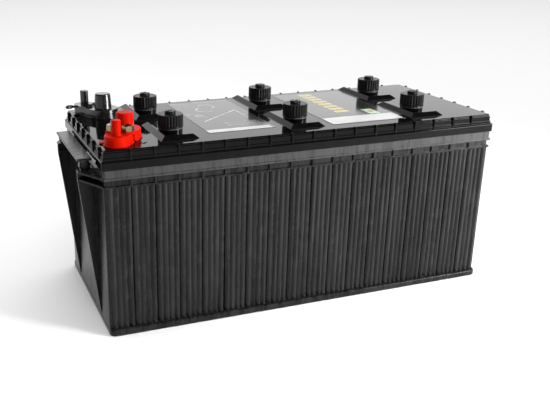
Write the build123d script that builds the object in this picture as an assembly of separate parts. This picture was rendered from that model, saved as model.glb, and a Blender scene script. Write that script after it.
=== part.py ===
from build123d import *
import os
from math import acos, atan2, cos, floor, radians, sin

# Deep cycle battery, twelve volts, flooded, six cells in two rows of three.
# Millimetres. X runs along the length with the terminal end at -X, Y runs front (-Y) to
# back (+Y), Z is up. The origin is the centre of the footprint on the ground.

# ---- Overall sizes ---------------------------------------------------------------------
COVER_LENGTH = 527.0          # over the cover skirt, end to end
COVER_WIDTH = 222.0           # over the cover skirt, front to back
COVER_TOP = 229.5             # height of the cover's top face

# ---- Container (the lower box) ---------------------------------------------------------
CELL_INSET = 7.8              # inner faces of the outer walls, in from the cover skirt
FLOOR = 5.0                   # bottom of the container
PARTITION = 3.2               # walls between the cells
WALL_SIDE_INSET = 2.0         # crests of the long walls, in from the cover skirt
WALL_END_INSET = 1.4          # crests of the end walls, in from the cover skirt
FOOT_HEIGHT = 9.0             # flange round the foot
FOOT_END_INSET = 1.5          # its ends, in from the cover skirt
FOOT_SIDE_REACH = 3.8         # its sides, out past the cover skirt
FOOT_CORNER = 8.0
FOOT_CHAMFER = 1.4
LOW_LEDGE_Z = 185.0           # underside of the lower ledge
LOW_LEDGE_HEIGHT = 2.5
LOW_LEDGE_INSET = 1.2
LEDGE_BAND_INSET = 3.4        # recessed band between the two ledges
HIGH_LEDGE_Z = 195.0
HIGH_LEDGE_HEIGHT = 2.2
HIGH_LEDGE_INSET = 0.4
COLLAR_INSET = 1.8            # smooth collar under the cover skirt
TONGUE_WALL = 2.6             # rim that stands up inside the cover
TONGUE_HEIGHT = 7.0
WALL_CORNER = 3.0
FLUTES_PER_BAY = 4
FLUTE_CROWN = 1.4             # how far each flute bulges
GROOVE_WIDTH = 1.1            # sharp groove between two bays
GROOVE_DEPTH = 1.3
END_CROWN = 0.8               # bulge of the end wall between a fin and the corner
MUD_REST_HEIGHT = 12.0        # ribs that the plates stand on
MUD_REST_WIDTH = 4.0
MUD_RESTS_PER_CELL = 4

# ---- Lifting bars and their brackets on both ends --------------------------------------
BAR_REACH = 19.0              # how far a lifting bar stands out past the cover skirt
BAR_HALF_SPAN = 68.0          # half of the bar's length
BAR_GAP = 1.3                 # air between the bar and the cover skirt
BAR_TOP = 211.5
BAR_PLATE = 3.0
BAR_WEB = 3.0
BAR_WEB_DEPTH = 8.5
JOURNAL_RADIUS = 4.5          # round ends of the bar, snapped into the brackets
JOURNAL_CLEARANCE = 0.25
JOURNAL_DROP = 8.6            # journal axis below the bar's top
BRACKET_LENGTH = 8.0
BRACKET_TOP_GAP = 1.5         # bracket top below the underside of the plate
FIN_THICKNESS = 3.0
SHELF_TAPER = 7.0             # shelves end this far short of the cover's sides
SOCKET_WALL = 1.7
SOCKET_MOUTH = 6.4

# ---- Cover (the lid) -------------------------------------------------------------------
SKIRT_BOTTOM = 207.0
SKIRT_TOP = 217.5
SKIRT_CORNER = 3.0
SKIRT_CHAMFER = 1.2
COVER_PLATE = 4.0             # thickness of the cover's top
COVER_WALL = 3.4
BAND_INSET = 4.0              # top face of the cover, in from the skirt
STEP_OUT = 0.9                # each of the two small steps down the side
STEP_HIGH_Z = 226.8
STEP_LOW_Z = 220.6
COVER_CORNER = 2.5
SEAL_CLEARANCE = 0.3          # cover to container tongue, sideways
RIB_THICKNESS = 2.2           # upright ribs round the cover
RIB_INSET = 0.9               # rib face, in from the skirt
RIB_NUB = 0.9                 # ribs stand this much above the cover
SIDE_RIB_PITCH = 28.7
END_RIB_PITCH = 30.0
RIB_MARGIN = 10.0             # no rib nearer than this to a corner

# ---- Vents -----------------------------------------------------------------------------
VENT_SHIFTS = {-1: 6.2, 0: 0.0, 1: 0.8}        # from the middle of the cell, by column
VENT_OUTWARD = 2.6            # vents stand this much further out than the cells' middles
VENT_BORE_RADIUS = 11.0
VENT_NECK_RADIUS = 14.9
VENT_NECK_HEIGHT = 6.5        # neck above the cover's top
VENT_WELL_DEPTH = 16.0        # well tube below the cover's top
STEM_CLEARANCE = 0.35
STEM_LENGTH = 12.0
STEM_WALL = 1.6
GASKET_HEIGHT = 1.3
GASKET_GAP = 0.3              # gasket to stem
CAP_RING_RADIUS = 15.7
CAP_RING_HEIGHT = 1.8
KNURL_RADIUS = 15.5
KNURL_DEPTH = 0.9
KNURL_RIBS = 26
CAP_CHAMFER = 0.5
CAP_HEIGHT = 16.0             # from the underside of the ring to the flat top
CAP_ROOF = 2.0
BUTTON_RADIUS = 6.6
BUTTON_HEIGHT = 3.6
BUTTON_SLOT = 2.2
BUTTON_SLOT_DEPTH = 1.5
BAFFLE_DISC = 1.4
BAFFLE_PIN_RADIUS = 1.6
BAFFLE_HOLE_RADIUS = 1.0
BAFFLE_HOLES = 6

# ---- L-shaped splash ridge beside each vent --------------------------------------------
RIDGE_BACK = 49.0             # far end of the long arm behind the vent's centre
RIDGE_SIDE = 22.5             # outer foot of the long arm, left of the vent's centre
RIDGE_FRONT = 36.0            # outer foot of the short arm, in front of the vent's centre
RIDGE_RIGHT = 25.0            # end of the short arm, right of the vent's centre
RIDGE_HEIGHT = 4.9
RIDGE_SLOPE = 6.2             # width of the sloping outer face
RIDGE_CREST = 1.8             # flat on top of the ridge

# ---- Terminals -------------------------------------------------------------------------
LUG_OFFSET = 50.0             # plate lugs and straps, from the middle of a cell
TERMINAL_OUTWARD = 3.6        # post, further out than the middle of its cell
STUD_DX = -17.9               # stud from the post, along X
STUD_EDGE = 24.0              # stud, in from the side of the cover skirt
POST_HEIGHT = 17.5
POST_TOP_DIAMETERS = {"positive": 17.46, "negative": 15.88}
POST_TAPER = 9.0              # one unit on the diameter for nine of height
PAD_TOP = 3.0                 # lead pad above the cover
PAD_DEPTH = 3.0               # lead pad sunk in the cover
PAD_POST_RADIUS = 13.5
PAD_STUD_RADIUS = 9.5
PAD_CLEARANCE = 0.2
PAD_SEAT = 3.0                # plastic under the sunk pad
BUSHING_RADIUS = 10.0
BUSHING_LENGTH = 16.0
STUD_RADIUS = 3.97            # five sixteenths of an inch
STUD_HEIGHT = 22.0            # above the lead pad
STUD_SUNK = 3.4
STUD_CHAMFER = 0.7
STUD_CLEARANCE = 0.05         # stud to the cast lead
RISER_RADIUS = 8.0            # lead riser from a strap to its terminal

# ---- Terminal protectors and the nuts stored on them -----------------------------------
PROTECTOR_TRAY_TOP = 11.5     # above the cover
PROTECTOR_WALL = 1.5
PROTECTOR_TUBE_WALL = 1.0
PROTECTOR_POST_RADIUS = 18.8  # tray outline round the post
PROTECTOR_STUD_RADIUS = 14.0  # tray outline round the stud
PROTECTOR_LIP = 1.5
PROTECTOR_LIP_HEIGHT = 1.6
PROTECTOR_POST_TOP = 30.5     # above the cover
PROTECTOR_STUD_TOP = 29.5
PROTECTOR_POST_GAPS = {"positive": 0.35, "negative": 1.8}       # air round the lead post
PROTECTOR_TAPERS = {"positive": 0.6, "negative": 1.4}           # narrowing of the post tube
PROTECTOR_STUD_GAP = 0.35
PROTECTOR_TAB_REACH = 17.5    # end of the pull tab, from the stud along X
PROTECTOR_TAB_SHIFT = 12.0    # pull tab, from the stud towards the post
PROTECTOR_TAB_WIDTH = 8.0
PROTECTOR_TAB_Z = 0.5         # pull tab above the cover
PROTECTOR_NOTCH_WIDTH = 5.0   # V notch in the tray's side wall
PROTECTOR_NOTCH_HEIGHT = 8.5
NUT_FLATS = 12.7
NUT_HEIGHT = 8.5
NUT_BORE = 6.9
NUT_OFFSET = 9.0              # nuts from the line that joins post and stud
NUT_ALONG = 0.56              # share of the way from the post to the stud
NUT_CHAMFER = 1.1
NUT_POCKET_RIM = 1.0
NUT_POCKET_HEIGHT = 1.6
NUT_POCKET_GAP = 0.15

# ---- Cell elements ---------------------------------------------------------------------
PLATE_WIDTH = 152.0
PLATE_HEIGHT = 143.0
CELL_SLACK = 10.0             # room in front of and behind the plates, together
POSITIVE_THICKNESS = 2.3
NEGATIVE_THICKNESS = 1.8
SEPARATOR_THICKNESS = 1.3
PLATE_GAP = 0.55              # plate to separator
SEPARATOR_OVERHANG = 3.0
LUG_WIDTH = 13.0
LUG_RISE = 12.0               # from the plate's top to the strap
STRAP_WIDTH = 17.0
STRAP_HEIGHT = 7.0
TAB_WIDTH = 22.0              # upright tab next to a partition
TAB_THICKNESS = 4.0
TAB_RISE = 18.0
TAB_AIR = 0.6                 # tab to partition
WELD_RADIUS = 6.5
WELD_HOLE_CLEARANCE = 0.2
WELD_RISE = 8.0               # weld axis above the strap

MARK_SIZE = 9.0               # plus and minus signs moulded on the cover
MARK_STROKE = 2.2
MARK_HEIGHT = 0.6
MARK_DX = 13.0                # sign from the post, along X
MARK_DY = 31.0                # sign from the post, outwards

# ---- Labels on the cover ---------------------------------------------------------------
LABEL_THICKNESS = 0.3
LABEL_BACK = 12.0             # from the cover's back edge
LABEL_FRONTS = {"left": 33.0, "right": 19.0}   # from the cover's front edge
LABEL_STARTS = {"left": 42.8, "right": 38.0}   # from the vent on the label's left
LABEL_ENDS = {"left": 34.0, "right": 27.8}     # to the vent on the label's right
LABEL_CORNER = 3.0

# ---- Worked out from the sizes above ---------------------------------------------------
half_length = COVER_LENGTH / 2
half_width = COVER_WIDTH / 2
inner_x = half_length - CELL_INSET
inner_y = half_width - CELL_INSET
cell_x = (2 * inner_x - 2 * PARTITION) / 3
cell_y = (2 * inner_y - PARTITION) / 2
cell_pitch_x = cell_x + PARTITION
cell_mid_y = (cell_y + PARTITION) / 2
vent_row = cell_mid_y + VENT_OUTWARD
band_x = half_length - BAND_INSET
band_y = half_width - BAND_INSET
tongue_top = SKIRT_BOTTOM + TONGUE_HEIGHT
cover_underside = COVER_TOP - COVER_PLATE
neck_top = COVER_TOP + VENT_NECK_HEIGHT
ring_bottom = neck_top + GASKET_HEIGHT
cap_top = ring_bottom + CAP_HEIGHT
stem_radius = VENT_BORE_RADIUS - STEM_CLEARANCE
plate_bottom = FLOOR + MUD_REST_HEIGHT
plate_top = plate_bottom + PLATE_HEIGHT
strap_bottom = plate_top + LUG_RISE
strap_top = strap_bottom + STRAP_HEIGHT
weld_z = strap_top + WELD_RISE
terminal_x = -cell_pitch_x - LUG_OFFSET
terminal_y = cell_mid_y + TERMINAL_OUTWARD
stud_dy = half_width - STUD_EDGE - terminal_y
pad_top = COVER_TOP + PAD_TOP
pad_bottom = COVER_TOP - PAD_DEPTH
bushing_bottom = COVER_TOP - BUSHING_LENGTH
post_top = pad_top + POST_HEIGHT
tray_top = COVER_TOP + PROTECTOR_TRAY_TOP
fin_y = BAR_HALF_SPAN - BRACKET_LENGTH / 2
bar_outer = half_length + BAR_REACH
bar_inner = half_length + BAR_GAP
journal_x = (bar_outer + bar_inner) / 2
journal_z = BAR_TOP - JOURNAL_DROP
bracket_top = BAR_TOP - BAR_PLATE - BRACKET_TOP_GAP
stack_pitch = (POSITIVE_THICKNESS + NEGATIVE_THICKNESS) / 2 + SEPARATOR_THICKNESS + 2 * PLATE_GAP
positive_plates = floor((cell_y - CELL_SLACK - NEGATIVE_THICKNESS) / (2 * stack_pitch))

# Cells in the order of the current: along the front row from the terminal end, then back.
# Each is (column, row): column -1, 0, 1 along X and row -1 (front) or 1 (back).
CELLS = [(-1, -1), (0, -1), (1, -1), (1, 1), (0, 1), (-1, 1)]


def slab(half_x, half_y, low, high, radius):
    """A plate with rounded corners, centred on the battery's middle."""
    return Pos(0, 0, low) * extrude(RectangleRounded(2 * half_x, 2 * half_y, radius), high - low)


def inset_slab(inset, low, high, radius):
    """A plate whose edges lie a given distance in from the cover skirt."""
    return slab(half_length - inset, half_width - inset, low, high, radius)


def block(x0, x1, y0, y1, z0, z1):
    """A box from its two extreme corners, whichever way round they are given."""
    size = (abs(x1 - x0), abs(y1 - y0), abs(z1 - z0))
    return Pos((x0 + x1) / 2, (y0 + y1) / 2, (z0 + z1) / 2) * Box(*size)


def rod(radius, low, high, x=0.0, y=0.0):
    """An upright cylinder."""
    return Pos(x, y, (low + high) / 2) * Cylinder(radius, high - low)


def ring(outer, inner, low, high, x=0.0, y=0.0):
    """An upright tube."""
    return rod(outer, low, high, x, y) - rod(inner, low, high, x, y)


def stations(half_span, pitch):
    """Evenly spaced places about the middle, none within the margin of an end."""
    count = floor((half_span - RIB_MARGIN) / pitch)
    return [i * pitch for i in range(-count, count + 1)]


def cell_centre(index):
    """Middle of a cell in plan."""
    column, row = CELLS[index]
    return column * cell_pitch_x, row * cell_mid_y


def vent_centre(index):
    """Middle of a vent in plan."""
    column, row = CELLS[index]
    return column * cell_pitch_x + VENT_SHIFTS[column], row * vent_row


# ---- Container -------------------------------------------------------------------------
def fluted_side(start, end, outward, grooves):
    """One long wall in plan: bays of shallow flutes between narrow V grooves."""
    along = (end - start).normalized()
    length = (end - start).length
    cuts = [g for g in grooves if GROOVE_WIDTH < g < length - GROOVE_WIDTH]
    starts = [0.0] + [g + GROOVE_WIDTH / 2 for g in cuts]
    ends = [g - GROOVE_WIDTH / 2 for g in cuts] + [length]
    edges = []
    for bay, (low, high) in enumerate(zip(starts, ends)):
        step = (high - low) / FLUTES_PER_BAY
        for flute in range(FLUTES_PER_BAY):
            a = start + along * (low + flute * step)
            b = start + along * (low + (flute + 1) * step)
            edges.append(ThreePointArc(a, (a + b) / 2 + outward * FLUTE_CROWN, b))
        if bay < len(cuts):
            a = start + along * high
            b = start + along * starts[bay + 1]
            root = start + along * cuts[bay] - outward * GROOVE_DEPTH
            edges += [Line(a, root), Line(root, b)]
    return edges


def crowned_end(start, end, outward):
    """One end wall in plan: crowned outside the two fins, flat between them."""
    middle = (start + end) / 2
    along = (end - start).normalized()
    first = middle - along * fin_y
    second = middle + along * fin_y
    rise = outward * END_CROWN
    return [
        ThreePointArc(start, (start + first) / 2 + rise, first),
        Line(first, second),
        ThreePointArc(second, (second + end) / 2 + rise, end),
    ]


def wall_outline():
    """Plan of the container's outside between the foot flange and the lower ledge."""
    x = half_length - WALL_END_INSET - END_CROWN
    y = half_width - WALL_SIDE_INSET - FLUTE_CROWN
    r = WALL_CORNER
    grooves = [x - r + g for g in stations(band_x, SIDE_RIB_PITCH)]
    corner = r * (1 - cos(radians(45)))
    edges = fluted_side(Vector(-x + r, -y), Vector(x - r, -y), Vector(0, -1), grooves)
    edges.append(ThreePointArc((x - r, -y), (x - corner, -y + corner), (x, -y + r)))
    edges += crowned_end(Vector(x, -y + r), Vector(x, y - r), Vector(1, 0))
    edges.append(ThreePointArc((x, y - r), (x - corner, y - corner), (x - r, y)))
    edges += fluted_side(Vector(x - r, y), Vector(-x + r, y), Vector(0, 1), grooves)
    edges.append(ThreePointArc((-x + r, y), (-x + corner, y - corner), (-x, y - r)))
    edges += crowned_end(Vector(-x, y - r), Vector(-x, -y + r), Vector(-1, 0))
    edges.append(ThreePointArc((-x, -y + r), (-x + corner, -y + corner), (-x + r, -y)))
    return make_face(edges)


def ledge_ribs():
    """Short upright ribs in the recessed band between the two ledges."""
    low = LOW_LEDGE_Z + LOW_LEDGE_HEIGHT
    outer_y = half_width - LOW_LEDGE_INSET
    outer_x = half_length - LOW_LEDGE_INSET
    root_y = half_width - LEDGE_BAND_INSET - 1
    root_x = half_length - LEDGE_BAND_INSET - 1
    half = RIB_THICKNESS / 2
    ribs = []
    for side in (-1, 1):
        for x in stations(band_x, SIDE_RIB_PITCH):
            ribs.append(block(x - half, x + half, side * root_y, side * outer_y, low, HIGH_LEDGE_Z))
        for y in stations(band_y, END_RIB_PITCH):
            ribs.append(block(side * root_x, side * outer_x, y - half, y + half, low, HIGH_LEDGE_Z))
    return ribs


def upright_plate(points, y, thickness):
    """A flat plate square to Y, from its outline in X and Z."""
    face = make_face(Polyline(*points, close=True))
    return Pos(0, y + thickness / 2, 0) * (Plane.XZ * extrude(face, thickness))


def flat_plate(points, low, high):
    """A flat level plate, from its outline in X and Y."""
    face = make_face(Polyline(*points, close=True))
    return Pos(0, 0, low) * extrude(face, high - low)


def lying_rod(radius, x, y0, y1, z):
    """A cylinder along Y."""
    return Pos(x, (y0 + y1) / 2, z) * Rot(90, 0, 0) * Cylinder(radius, abs(y1 - y0))


def end_bracket(side):
    """Fin, two shelves and the snap socket for one end of the lifting bar, at the +X end."""
    foot = half_length - WALL_END_INSET - END_CROWN - 1
    near = side * (BAR_HALF_SPAN - BRACKET_LENGTH)
    far = side * BAR_HALF_SPAN
    corner = side * (half_width - SHELF_TAPER)
    shelf_far = side * (BAR_HALF_SPAN + HIGH_LEDGE_HEIGHT)
    high_top = HIGH_LEDGE_Z + HIGH_LEDGE_HEIGHT
    low_top = LOW_LEDGE_Z + LOW_LEDGE_HEIGHT
    fin = upright_plate(
        [
            (foot, FOOT_HEIGHT),
            (half_length - FOOT_END_INSET, FOOT_HEIGHT),
            (bar_outer, LOW_LEDGE_Z),
            (bar_outer, HIGH_LEDGE_Z),
            (foot, HIGH_LEDGE_Z),
        ],
        side * fin_y,
        FIN_THICKNESS,
    )
    high_shelf = flat_plate(
        [(foot, near), (bar_outer, near), (bar_outer, shelf_far), (half_length - HIGH_LEDGE_INSET, corner),
         (foot, corner)],
        HIGH_LEDGE_Z,
        high_top,
    )
    low_shelf = flat_plate(
        [(foot, near), (bar_outer - LOW_LEDGE_INSET, near), (bar_outer - LOW_LEDGE_INSET, far),
         (half_length - LOW_LEDGE_INSET, corner), (foot, corner)],
        LOW_LEDGE_Z,
        low_top,
    )
    bore = JOURNAL_RADIUS + JOURNAL_CLEARANCE
    hoop = lying_rod(bore + SOCKET_WALL, journal_x, near, far, journal_z)
    seat = hoop + block(journal_x - bore, journal_x + bore, near, far, high_top - 1, journal_z)
    socket = lying_rod(bore, journal_x, near - side, far + side, journal_z)
    mouth = block(journal_x - SOCKET_MOUTH / 2, journal_x + SOCKET_MOUTH / 2, near - side, far + side,
                  journal_z, BAR_TOP)
    above = block(bar_inner, bar_outer, near - side, far + side, bracket_top, BAR_TOP)
    return fin + high_shelf + low_shelf + (seat - socket - mouth - above)


def mud_rests(index):
    """Ribs across the floor of a cell, which carry the plates above the sediment space."""
    x, y = cell_centre(index)
    spacing = PLATE_WIDTH / MUD_RESTS_PER_CELL
    half = MUD_REST_WIDTH / 2
    rests = []
    for i in range(MUD_RESTS_PER_CELL):
        middle = x + (i - (MUD_RESTS_PER_CELL - 1) / 2) * spacing
        rests.append(block(middle - half, middle + half, y - cell_y / 2, y + cell_y / 2, FLOOR, plate_bottom))
    return rests


def weld_places():
    """Middle and direction of each weld through a partition, in the order of the current."""
    places = []
    for index in range(len(CELLS) - 1):
        (column, row), (next_column, next_row) = CELLS[index], CELLS[index + 1]
        if row == next_row:
            places.append(((column + next_column) / 2 * cell_pitch_x, row * cell_mid_y, "x"))
        else:
            places.append((column * cell_pitch_x + LUG_OFFSET, 0.0, "y"))
    return places


def weld_rod(place, radius, length):
    """A level cylinder through a partition."""
    x, y, direction = place
    turn = Rot(0, 90, 0) if direction == "x" else Rot(90, 0, 0)
    return Pos(x, y, weld_z) * turn * Cylinder(radius, length)


def container():
    """The lower box: fluted walls, foot flange, ledges, partitions, brackets."""
    top_z = SKIRT_BOTTOM
    foot = slab(half_length - FOOT_END_INSET, half_width + FOOT_SIDE_REACH, 0, FOOT_HEIGHT, FOOT_CORNER)
    foot = chamfer(foot.faces().sort_by(Axis.Z)[0].edges(), FOOT_CHAMFER)
    foot = chamfer(foot.faces().sort_by(Axis.Z)[-1].edges(), FOOT_CHAMFER)
    wall = Pos(0, 0, FOOT_HEIGHT) * extrude(wall_outline(), LOW_LEDGE_Z - FOOT_HEIGHT)
    low_ledge = inset_slab(LOW_LEDGE_INSET, LOW_LEDGE_Z, LOW_LEDGE_Z + LOW_LEDGE_HEIGHT, WALL_CORNER)
    band = inset_slab(LEDGE_BAND_INSET, LOW_LEDGE_Z + LOW_LEDGE_HEIGHT, HIGH_LEDGE_Z, WALL_CORNER)
    high_top = HIGH_LEDGE_Z + HIGH_LEDGE_HEIGHT
    high_ledge = inset_slab(HIGH_LEDGE_INSET, HIGH_LEDGE_Z, high_top, SKIRT_CORNER)
    collar = inset_slab(COLLAR_INSET, high_top, top_z, SKIRT_CORNER)
    tongue = slab(inner_x + TONGUE_WALL, inner_y + TONGUE_WALL, top_z, tongue_top, WALL_CORNER)
    brackets = end_bracket(-1) + end_bracket(1)
    outside = foot + [wall, low_ledge, band, high_ledge, collar, tongue, brackets]
    outside = outside + mirror(brackets, about=Plane.YZ) + ledge_ribs()
    cells = []
    for index in range(len(CELLS)):
        x, y = cell_centre(index)
        cells.append(block(x - cell_x / 2, x + cell_x / 2, y - cell_y / 2, y + cell_y / 2, FLOOR,
                           tongue_top + 1))
    box = outside - cells
    rests = [rest for index in range(len(CELLS)) for rest in mud_rests(index)]
    box = box + rests
    holes = [weld_rod(p, WELD_RADIUS + WELD_HOLE_CLEARANCE, 2 * PARTITION) for p in weld_places()]
    return box - holes


# ---- Lifting bars ----------------------------------------------------------------------
def lifting_bar(end):
    """T-shaped grip with a round journal at each end, snapped into the brackets."""
    plate = block(bar_inner, bar_outer, -BAR_HALF_SPAN, BAR_HALF_SPAN, BAR_TOP - BAR_PLATE, BAR_TOP)
    plate = fillet(plate.edges().filter_by(Axis.Z), BAR_PLATE / 2)
    plate = chamfer(plate.faces().sort_by(Axis.Z)[-1].edges(), BAR_PLATE / 4)
    under = BAR_TOP - BAR_PLATE
    web = block(journal_x - BAR_WEB / 2, journal_x + BAR_WEB / 2, -BAR_HALF_SPAN, BAR_HALF_SPAN,
                under - BAR_WEB_DEPTH, under)
    bar = plate + web
    inner_end = BAR_HALF_SPAN - BRACKET_LENGTH - BAR_WEB
    for side in (-1, 1):
        bar += lying_rod(JOURNAL_RADIUS, journal_x, side * inner_end, side * BAR_HALF_SPAN, journal_z)
    return bar if end > 0 else mirror(bar, about=Plane.YZ)


# ---- Cover -----------------------------------------------------------------------------
def tapered_link(x0, y0, r0, x1, y1, r1, low, high):
    """A level plate whose outline is two round ends joined by straight tangents."""
    length = Vector(x1 - x0, y1 - y0).length
    heading = atan2(y1 - y0, x1 - x0)
    spread = acos((r0 - r1) / length)

    def rim(x, y, r, angle):
        return Vector(x + r * cos(angle), y + r * sin(angle))

    a0, a1 = rim(x0, y0, r0, heading + spread), rim(x0, y0, r0, heading - spread)
    b0, b1 = rim(x1, y1, r1, heading + spread), rim(x1, y1, r1, heading - spread)
    back = Vector(x0 - r0 * cos(heading), y0 - r0 * sin(heading))
    front = Vector(x1 + r1 * cos(heading), y1 + r1 * sin(heading))
    outline = [Line(b0, a0), ThreePointArc(a0, back, a1), Line(a1, b1), ThreePointArc(b1, front, b0)]
    return Pos(0, 0, low) * extrude(make_face(outline), high - low)


def terminal_link(side, grow_post, grow_stud, low, high):
    """A plate round one terminal's post and stud; side is -1 for the front, 1 for the back."""
    return tapered_link(
        terminal_x, side * terminal_y, grow_post,
        terminal_x + STUD_DX, side * (terminal_y + stud_dy), grow_stud, low, high,
    )


def cover_ribs():
    """Upright ribs round the cover, their tops a little proud of it."""
    half = RIB_THICKNESS / 2
    face_x = half_length - RIB_INSET
    face_y = half_width - RIB_INSET
    root = BAND_INSET + RIB_NUB
    top = COVER_TOP + RIB_NUB
    ribs = []
    for side in (-1, 1):
        for x in stations(band_x, SIDE_RIB_PITCH):
            ribs.append(block(x - half, x + half, side * (half_width - root), side * face_y, SKIRT_TOP, top))
        for y in stations(band_y, END_RIB_PITCH):
            ribs.append(block(side * (half_length - root), side * face_x, y - half, y + half, SKIRT_TOP, top))
    return [chamfer(rib.faces().sort_by(Axis.Z)[-1].edges(), RIB_THICKNESS / 4) for rib in ribs]


def splash_ridge(x, y):
    """L-shaped ridge at a vent's front left, sloping outside and upright inside."""
    foot = COVER_TOP - 1
    rise = RIDGE_HEIGHT + 1
    left, front = x - RIDGE_SIDE, y - RIDGE_FRONT
    back, right = y + RIDGE_BACK, x + RIDGE_RIGHT
    body = block(left, right, front, back, foot, foot + rise)
    wide = RIDGE_SLOPE + RIDGE_CREST
    body -= block(left + wide, right + 1, front + wide, back + 1, foot - 1, foot + rise + 1)
    slope = RIDGE_SLOPE
    low = COVER_TOP
    high = COVER_TOP + RIDGE_HEIGHT
    over = 1.0
    lift = over * RIDGE_HEIGHT / slope
    wedge = [(0 - over, low - lift), (slope + over, high + lift), (0 - over, high + lift)]
    outer_left = upright_plate([(left + u, z) for u, z in wedge], y, 4 * RIDGE_BACK)
    outer_right = upright_plate([(right - u, z) for u, z in wedge], y, 4 * RIDGE_BACK)
    profile = make_face(Polyline(*wedge, close=True))
    across = Plane.YZ * extrude(profile, 4 * RIDGE_BACK)
    outer_front = Pos(x - 2 * RIDGE_BACK, front, 0) * across
    outer_back = Pos(x - 2 * RIDGE_BACK, back, 0) * mirror(across, about=Plane.XZ)
    return body - outer_left - outer_right - outer_front - outer_back


def polarity_mark(side):
    """Moulded plus sign beside the positive post, minus sign beside the negative."""
    x = terminal_x + MARK_DX
    y = side * (terminal_y + MARK_DY)
    long, short = MARK_SIZE / 2, MARK_STROKE / 2
    low, high = COVER_TOP - MARK_HEIGHT, COVER_TOP + MARK_HEIGHT
    bar = block(x - long, x + long, y - short, y + short, low, high)
    return bar + block(x - short, x + short, y - long, y + long, low, high) if side < 0 else bar


def cover_shell():
    """Stepped outside of the cover, hollowed, with the walls that meet the partitions."""
    skirt = inset_slab(0, SKIRT_BOTTOM, SKIRT_TOP, SKIRT_CORNER)
    skirt = chamfer(skirt.faces().sort_by(Axis.Z)[-1].edges(), SKIRT_CHAMFER)
    low_step = inset_slab(BAND_INSET - 2 * STEP_OUT, SKIRT_TOP, STEP_LOW_Z, COVER_CORNER)
    high_step = inset_slab(BAND_INSET - STEP_OUT, STEP_LOW_Z, STEP_HIGH_Z, COVER_CORNER)
    top = inset_slab(BAND_INSET, STEP_HIGH_Z, COVER_TOP, COVER_CORNER)
    top = chamfer(top.faces().sort_by(Axis.Z)[-1].edges(), STEP_OUT)
    shell = skirt + [low_step, high_step, top] + cover_ribs()
    tongue_gap = TONGUE_WALL + SEAL_CLEARANCE
    shell -= slab(inner_x + tongue_gap, inner_y + tongue_gap, SKIRT_BOTTOM - 1, tongue_top, WALL_CORNER)
    for index in range(len(CELLS)):
        x, y = cell_centre(index)
        shell -= block(x - cell_x / 2, x + cell_x / 2, y - cell_y / 2, y + cell_y / 2, tongue_top - 1,
                       cover_underside)
    return shell


def cover():
    """The lid: stepped shell, vent necks and wells, splash ridges, terminal wells."""
    shell = cover_shell()
    wells = []
    bores = []
    for index in range(len(CELLS)):
        x, y = vent_centre(index)
        neck = rod(VENT_NECK_RADIUS, COVER_TOP - VENT_WELL_DEPTH, neck_top, x, y)
        wells += [neck, splash_ridge(x, y)]
        bores.append(rod(VENT_BORE_RADIUS, COVER_TOP - VENT_WELL_DEPTH - 1, neck_top + 1, x, y))
    for side in (-1, 1):
        seat_low = pad_bottom - PAD_SEAT
        wells += [terminal_link(side, PAD_POST_RADIUS + PAD_SEAT, PAD_STUD_RADIUS + PAD_SEAT, seat_low,
                                cover_underside + 1), polarity_mark(side)]
        bores.append(terminal_link(side, PAD_POST_RADIUS + PAD_CLEARANCE, PAD_STUD_RADIUS + PAD_CLEARANCE,
                                   pad_bottom, COVER_TOP + 1))
        bores.append(rod(BUSHING_RADIUS + PAD_CLEARANCE, seat_low - 1, pad_bottom + 1, terminal_x,
                         side * terminal_y))
    return (shell + wells) - bores


# ---- Vent caps -------------------------------------------------------------------------
def knurled_grip(low, high):
    """Round grip with upright ribs round its side."""
    grip = rod(KNURL_RADIUS, low, high)
    grip = chamfer(grip.edges(), CAP_CHAMFER)
    groove = KNURL_RADIUS * radians(360 / KNURL_RIBS) / 4
    cuts = PolarLocations(KNURL_RADIUS + groove - KNURL_DEPTH, KNURL_RIBS)
    return grip - [place * rod(groove, low - 1, high - KNURL_DEPTH) for place in cuts]


def vent_cap():
    """Screw-in vent plug: ring, ribbed grip, slotted button, hollow stem."""
    ring_top = ring_bottom + CAP_RING_HEIGHT
    flange = rod(CAP_RING_RADIUS, ring_bottom, ring_top)
    flange = chamfer(flange.edges(), CAP_RING_HEIGHT / 4)
    cap = flange + knurled_grip(ring_top, cap_top)
    button = rod(BUTTON_RADIUS, cap_top, cap_top + BUTTON_HEIGHT)
    button = chamfer(button.faces().sort_by(Axis.Z)[-1].edges(), BUTTON_HEIGHT / 6)
    slot_low = cap_top + BUTTON_HEIGHT - BUTTON_SLOT_DEPTH
    reach = BUTTON_RADIUS + 1
    half = BUTTON_SLOT / 2
    button -= block(-reach, reach, -half, half, slot_low, cap_top + BUTTON_HEIGHT + 1)
    cap += button
    cap += rod(stem_radius, ring_bottom - STEM_LENGTH, ring_bottom)
    cap -= rod(stem_radius - STEM_WALL, ring_bottom - STEM_LENGTH - 1, cap_top - CAP_ROOF)
    return cap


def vent_gasket():
    """Flat rubber ring between the neck and the cap's ring."""
    return ring(VENT_NECK_RADIUS, stem_radius + GASKET_GAP, neck_top, ring_bottom)


def vent_baffle():
    """Perforated splash disc with a pin, pressed into the bottom of the stem."""
    low = ring_bottom - STEM_LENGTH
    disc = rod(stem_radius - STEM_WALL, low, low + BAFFLE_DISC)
    holes = PolarLocations((stem_radius - STEM_WALL) / 2, BAFFLE_HOLES)
    disc -= [place * rod(BAFFLE_HOLE_RADIUS, low - 1, low + BAFFLE_DISC + 1) for place in holes]
    return disc + rod(BAFFLE_PIN_RADIUS, low, low + STEM_LENGTH / 2)


# ---- Terminals -------------------------------------------------------------------------
def post_radius(polarity, z):
    """Radius of the tapered post at a height."""
    return (POST_TOP_DIAMETERS[polarity] + (post_top - z) / POST_TAPER) / 2


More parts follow.
